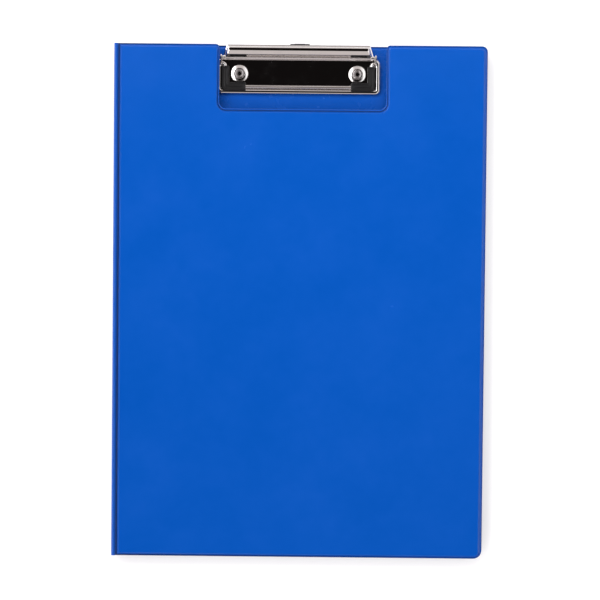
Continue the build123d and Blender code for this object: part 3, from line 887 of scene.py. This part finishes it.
cap = shell(np.concatenate([leverRings(0.0)[::-1], leverRings(lever["sheet"])]))
leverPoints, leverFaces = joined([cap, hemPart()])
leverPiece = addPiece("clipLever", leverPoints + leverAxis, leverFaces, chromeLever, "lever", flats=True,
                      sharpAngle=50)
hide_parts("clip_lever")
dress("lever_hinge_pin", steelPin)
print("lever made")


# Wire bail and its two grip pads

wireLow, wireHigh = boxOf("bail_wire")
bail = {"radius": 1.0, "cornerRadius": 3.0, "stubRadius": 1.3, "stub": 0.15, "frontShift": 0.2, "armInset": 1.9}


def bailWire():
    end = (wireHigh[0] - wireLow[0]) / 2
    s = bail["stubRadius"]
    arm = earInnerX - bail["armInset"]
    rear = bailAxis[1]
    front = wireLow[1] + bail["radius"] - bail["frontShift"]
    start = np.vstack([[(-end, rear), (-end + bail["stub"], rear)], arc((-arm - s, rear - s), s, 90, 0, 10)])
    path = clipPath(start, arm, rear - s, front, bail["cornerRadius"], (8, 16, 14))
    section = arc((0, 0), bail["radius"], 0, 360, 33)[:-1]
    piece = addPiece("bailWire", *carried(path, section, bailAxis[2]), chromeWire, "bail")
    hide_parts("bail_wire")


pad = {"corner": 3.0, "end": 0.5, "edge": 0.45, "bar": 5.2, "arm": 5.0, "sideTrim": {-1: 0.1, 1: 0.4},
       # inset from the outline and depth below the crown: a raised bead, a groove, then the low ridged face
       "face": [(0.75, 0.0), (0.95, 0.1), (1.15, 0.1), (1.3, 0.0), (1.6, 0.0), (1.75, 0.12), (1.95, 0.12),
                (2.1, 0.04)]}


# an L of rubber: its rings step in over a rounded edge, then over the ridges of its face
def gripPad(name, node, sideSign):
    low, high = boxOf(node)
    outer, inner = (low[0], high[0]) if sideSign < 0 else (high[0], low[0])
    armInner = outer - sideSign * pad["arm"]
    outer -= sideSign * pad["sideTrim"][sideSign]
    barRear = low[1] + pad["bar"]
    corners = [(outer, high[1]), (outer, low[1]), (inner, low[1]), (inner, barRear), (armInner, barRear),
               (armInner, high[1])]
    radii = [pad["end"], pad["corner"]] + [pad["end"]] * 4
    if sideSign > 0:
        corners = corners[::-1]
        radii = radii[::-1]
    half = (high[2] - low[2]) / 2
    middle = (high[2] + low[2]) / 2
    edge = pad["edge"]
    levels = [(edge * (1 - math.cos(a)), half - edge + edge * math.sin(a)) for a in np.radians(np.linspace(0, 90, 7))]
    levels += [(inset, half - depth) for inset, depth in pad["face"]]
    below = [(inset, middle - height) for inset, height in levels]
    above = [(inset, middle + height) for inset, height in levels]
    piece = addPiece(name, *stacked(corners, radii, below[::-1] + above, least=0.05), blackRubber, "bail",
                     sharpAngle=60)
    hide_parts(node)


bailWire()
gripPad("leftGripPad", "left_grip_pad", -1)
gripPad("rightGripPad", "right_grip_pad", 1)
print("bail made")


# Rivets and their domed washers

rivetLow, rivetHigh = boxOf("clip_rivets")
rivet = {"bore": 1.75, "shank": 2.5, "rim": 2.95, "rollHeight": 0.8, "waist": 0.9, "head": 4.2, "headThickness": 0.5}
washer = {"bore": 2.55, "step": 0.3, "hole": 3.15, "inner": 3.45, "coneEnd": 4.95, "cone": 17.0, "belowRim": 0.9}


# up the bore, over the inner lip, down a cone of so many degrees and round the outer edge
def washerProfile():
    low = washersLow[2]
    top = rivetHigh[2] - washer["belowRim"]
    bore, step, hole, inner, cone = (washer[key] for key in ("bore", "step", "hole", "inner", "coneEnd"))
    fallen = top - (cone - inner) * math.tan(math.radians(washer["cone"]))
    edge = [(cone, fallen), (cone + 0.25, fallen - 0.1), (washerRadius - 0.08, (fallen + low) / 2),
            (washerRadius, low + 0.12), (washerRadius - 0.1, low)]
    return np.vstack([[(bore, low), (bore, low + step), (hole, low + step), (hole, top - 0.15)],
                      flow([(hole + 0.05, top - 0.06), (inner - 0.1, top), (inner + 0.05, top - 0.02)], 5),
                      flow(edge, 7)])


# from the shank over the rolled rim, down the bore and round the head below
def rivetProfile():
    low, top = rivetLow[2], rivetHigh[2]
    bore, rim, shank, out = (rivet[key] for key in ("bore", "rim", "shank", "head"))
    rise = rivet["rollHeight"]
    roll = arc((0, 0), 1.0, -25, 180, 25) * ((rim - bore) / 2, rise) + ((bore + rim) / 2, top - rise)
    head = low + rivet["headThickness"]
    inside = flow([(bore, top - 1.3), (rivet["waist"], top - 2.6), (bore, low + 1.0), (bore + 0.35, low)], 5)
    return np.vstack([[(shank, washersLow[2] + 0.35)], roll, inside,
                      [(out - 0.15, low), (out, low + 0.15), (out, head), (shank, head)]])


for name, node, profile, material, slot in (
        ("rivetWashers", "rivet_washers", washerProfile(), chromeWasher, "washer_chrome"),
        ("clipRivets", "clip_rivets", rivetProfile(), chromeRivet, "rivet_chrome")):
    pairParts = [turned(profile, (clipX + sideSign * rivetX, rivetY)) for sideSign in (-1, 1)]
    piece = addPiece(name, *joined(pairParts), material, "back_cover", sharpAngle=50)
    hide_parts(node)
print("rivets made")


# Hanging tab: a strap with a hole under the plate, its lip stands up behind the clip

hanger = {"tailWidth": 16.4, "thickness": 0.7, "overlap": 0.5, "lipWidth": 7.0, "lipLength": 0.7, "lipRadius": 0.7,
          "lipEdge": 0.3, "hole": 2.75, "holeOut": 6.0, "reach": 1.15, "endRadius": 0.9, "tailRadius": 0.5,
          "neckRadius": 0.4, "edge": 0.05, "taper": 0.99, "steps": 96}


def hangerTab():
    low = hangerLow[2]
    high = low + hanger["thickness"]
    edge = hanger["edge"]
    half = plate["strapHalf"]
    tail = hanger["tailWidth"] / 2
    tailTop = hangerLow[1] + plate["tailLength"]
    holeY = hangerHigh[1] - hanger["reach"] - (plate["travel"] - hanger["holeOut"])
    outline = ring(rectangle(-half, tailTop - hanger["overlap"], half, hangerHigh[1]),
                   endRadii(hanger["endRadius"]), 0)
    # the strap's face runs from its outline, with more points along its sides, to the hole at the same bearing
    closed = np.vstack([outline, outline[:1]])
    length = np.concatenate([[0], np.cumsum(np.linalg.norm(np.diff(closed, axis=0), axis=1))])
    stops = np.unique(np.concatenate([length[:-1], np.linspace(0, length[-1], hanger["steps"], endpoint=False)]))
    rim = np.stack([np.interp(stops, length, closed[:, k]) for k in (0, 1)], axis=1)
    bearing = np.arctan2(rim[:, 1] - holeY, rim[:, 0])
    hole = hanger["hole"] * bearings(bearing) + (0, holeY)
    face = rim * (hanger["taper"], 1)
    rows = [placed(rim, low + edge), placed(rim, high - edge), placed(face, high), placed(hole, high),
            placed(hole, low), placed(face, low)]
    strap = (np.vstack(rows), quads(len(rows), len(rim), closedRows=True))
    stop = slab(rectangle(-tail, hangerLow[1], tail, tailTop),
                endRadii(hanger["neckRadius"], hanger["tailRadius"]), low + 0.01, high - 0.01, edge)
    lipHalf = hanger["lipWidth"] / 2
    lip = slab(rectangle(-lipHalf, low + 0.1, lipHalf, hangerHigh[2]), endRadii(hanger["lipRadius"]),
               hangerHigh[1] - hanger["lipLength"], hangerHigh[1], hanger["lipEdge"], "uhv")
    points, faces = joined([strap, stop, lip])
    piece = addPiece("hangerTab", points + (hangerX, 0, 0), faces, darkTab, "hanger")
    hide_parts("hanger_tab")


hangerTab()
print("hanging tab made")


# Floor, light and surroundings

# each lamp has a place, an aim, a width, a length and a power
studio = {"floorHalf": 4.0, "floorDrop": 0.0004,
          "floor": {"Base Color": (0.6, 0.6, 0.6, 1), "Roughness": 0.9, "Specular IOR Level": 0.1,
                    "Emission Color": (1, 1, 1, 1), "Emission Strength": 0.42},
          "lamps": {"keyLamp": ((0.0, 0.42, 0.6), (0, 0.05, 0), 0.6, 0.4, 3.0),
                    "fillLamp": ((0.4, -0.5, 1.2), (0, 0, 0), 1.0, 1.0, 0.6)},
          "ahead": (0.66, 0.60, 0.59, 1), "beside": (1.35, 1.34, 1.36, 1), "besideFrom": 0.18, "besideTo": 0.5,
          "besideLow": 0.5, "besideHigh": 0.66, "strip": 1.7, "stripFrom": 0.3, "stripTo": 0.85, "stripSoft": 0.06,
          "zenith": (0.006, 0.005, 0.005, 1), "zenithLean": -4.0, "zenithRadius": 27.5, "zenithSoft": 3.0}


def addFloor():
    mesh = bpy.data.meshes.new("floor")
    half = studio["floorHalf"]
    corners = [(x, y, -studio["floorDrop"]) for x, y in rectangle(-half, -half, half, half)]
    mesh.from_pydata(corners, [], [(0, 1, 2, 3)])
    mesh.materials.append(plain("floorPaper", studio["floor"])[0])
    linked("floor", mesh)


def addLamp(name, place, aim, width, length, power):
    data = bpy.data.lights.new(name, "AREA")
    data.shape = "RECTANGLE"
    data.size = width
    data.size_y = length
    data.energy = power
    lamp = linked(name, data)
    lamp.location = place
    lamp.rotation_euler = (Vector(aim) - Vector(place)).to_track_quat("-Z", "Y").to_euler()
    lamp.visible_glossy = False


# the sky is dark overhead, dim before and behind, and bright beside, with a brighter strip at the left:
# each share is a ramp over the ray's part along one direction
def addSky():
    world = bpy.data.worlds.new("studio")
    world.use_nodes = True
    scene.world = world
    tree = world.node_tree
    background = tree.nodes["Background"]
    ray = tree.nodes.new("ShaderNodeTexCoord").outputs["Generated"]
    lean = math.radians(studio["zenithLean"])
    toward = add(tree, "ShaderNodeVectorMath", {"operation": "DOT_PRODUCT"})
    feed(tree, toward.inputs[0], ray)
    feed(tree, toward.inputs[1], (0, math.sin(lean), math.cos(lean)))
    outer = math.cos(math.radians(studio["zenithRadius"] + studio["zenithSoft"]))
    inner = math.cos(math.radians(studio["zenithRadius"] - studio["zenithSoft"]))
    overhead = stretched(tree, toward.outputs["Value"], outer, inner, 0.0, 1.0)
    parts = add(tree, "ShaderNodeSeparateXYZ", Vector=ray).outputs
    across = parts["X"]
    side = stretched(tree, sums(tree, "ABSOLUTE", across), studio["besideFrom"], studio["besideTo"], 0.0, 1.0)
    high = stretched(tree, parts["Z"], studio["besideLow"], studio["besideHigh"], 0.0, 1.0)
    level = mixed(tree, sums(tree, "MULTIPLY", side, high), studio["ahead"], studio["beside"])
    tree.links.new(mixed(tree, overhead, level, studio["zenith"]), background.inputs["Color"])
    near, far, soft = -studio["stripFrom"], -studio["stripTo"], studio["stripSoft"]
    strip = sums(tree, "MULTIPLY", stretched(tree, across, near, near - soft, 0.0, studio["strip"]),
                 stretched(tree, across, far, far - soft, 1.0, 0.0))
    tree.links.new(sums(tree, "ADD", 1.0, strip), background.inputs["Strength"])


addFloor()
for name, lamp in studio["lamps"].items():
    addLamp(name, *lamp)
addSky()
scene.view_settings.view_transform = "Standard"
scene.view_settings.look = "None"
print("studio made")
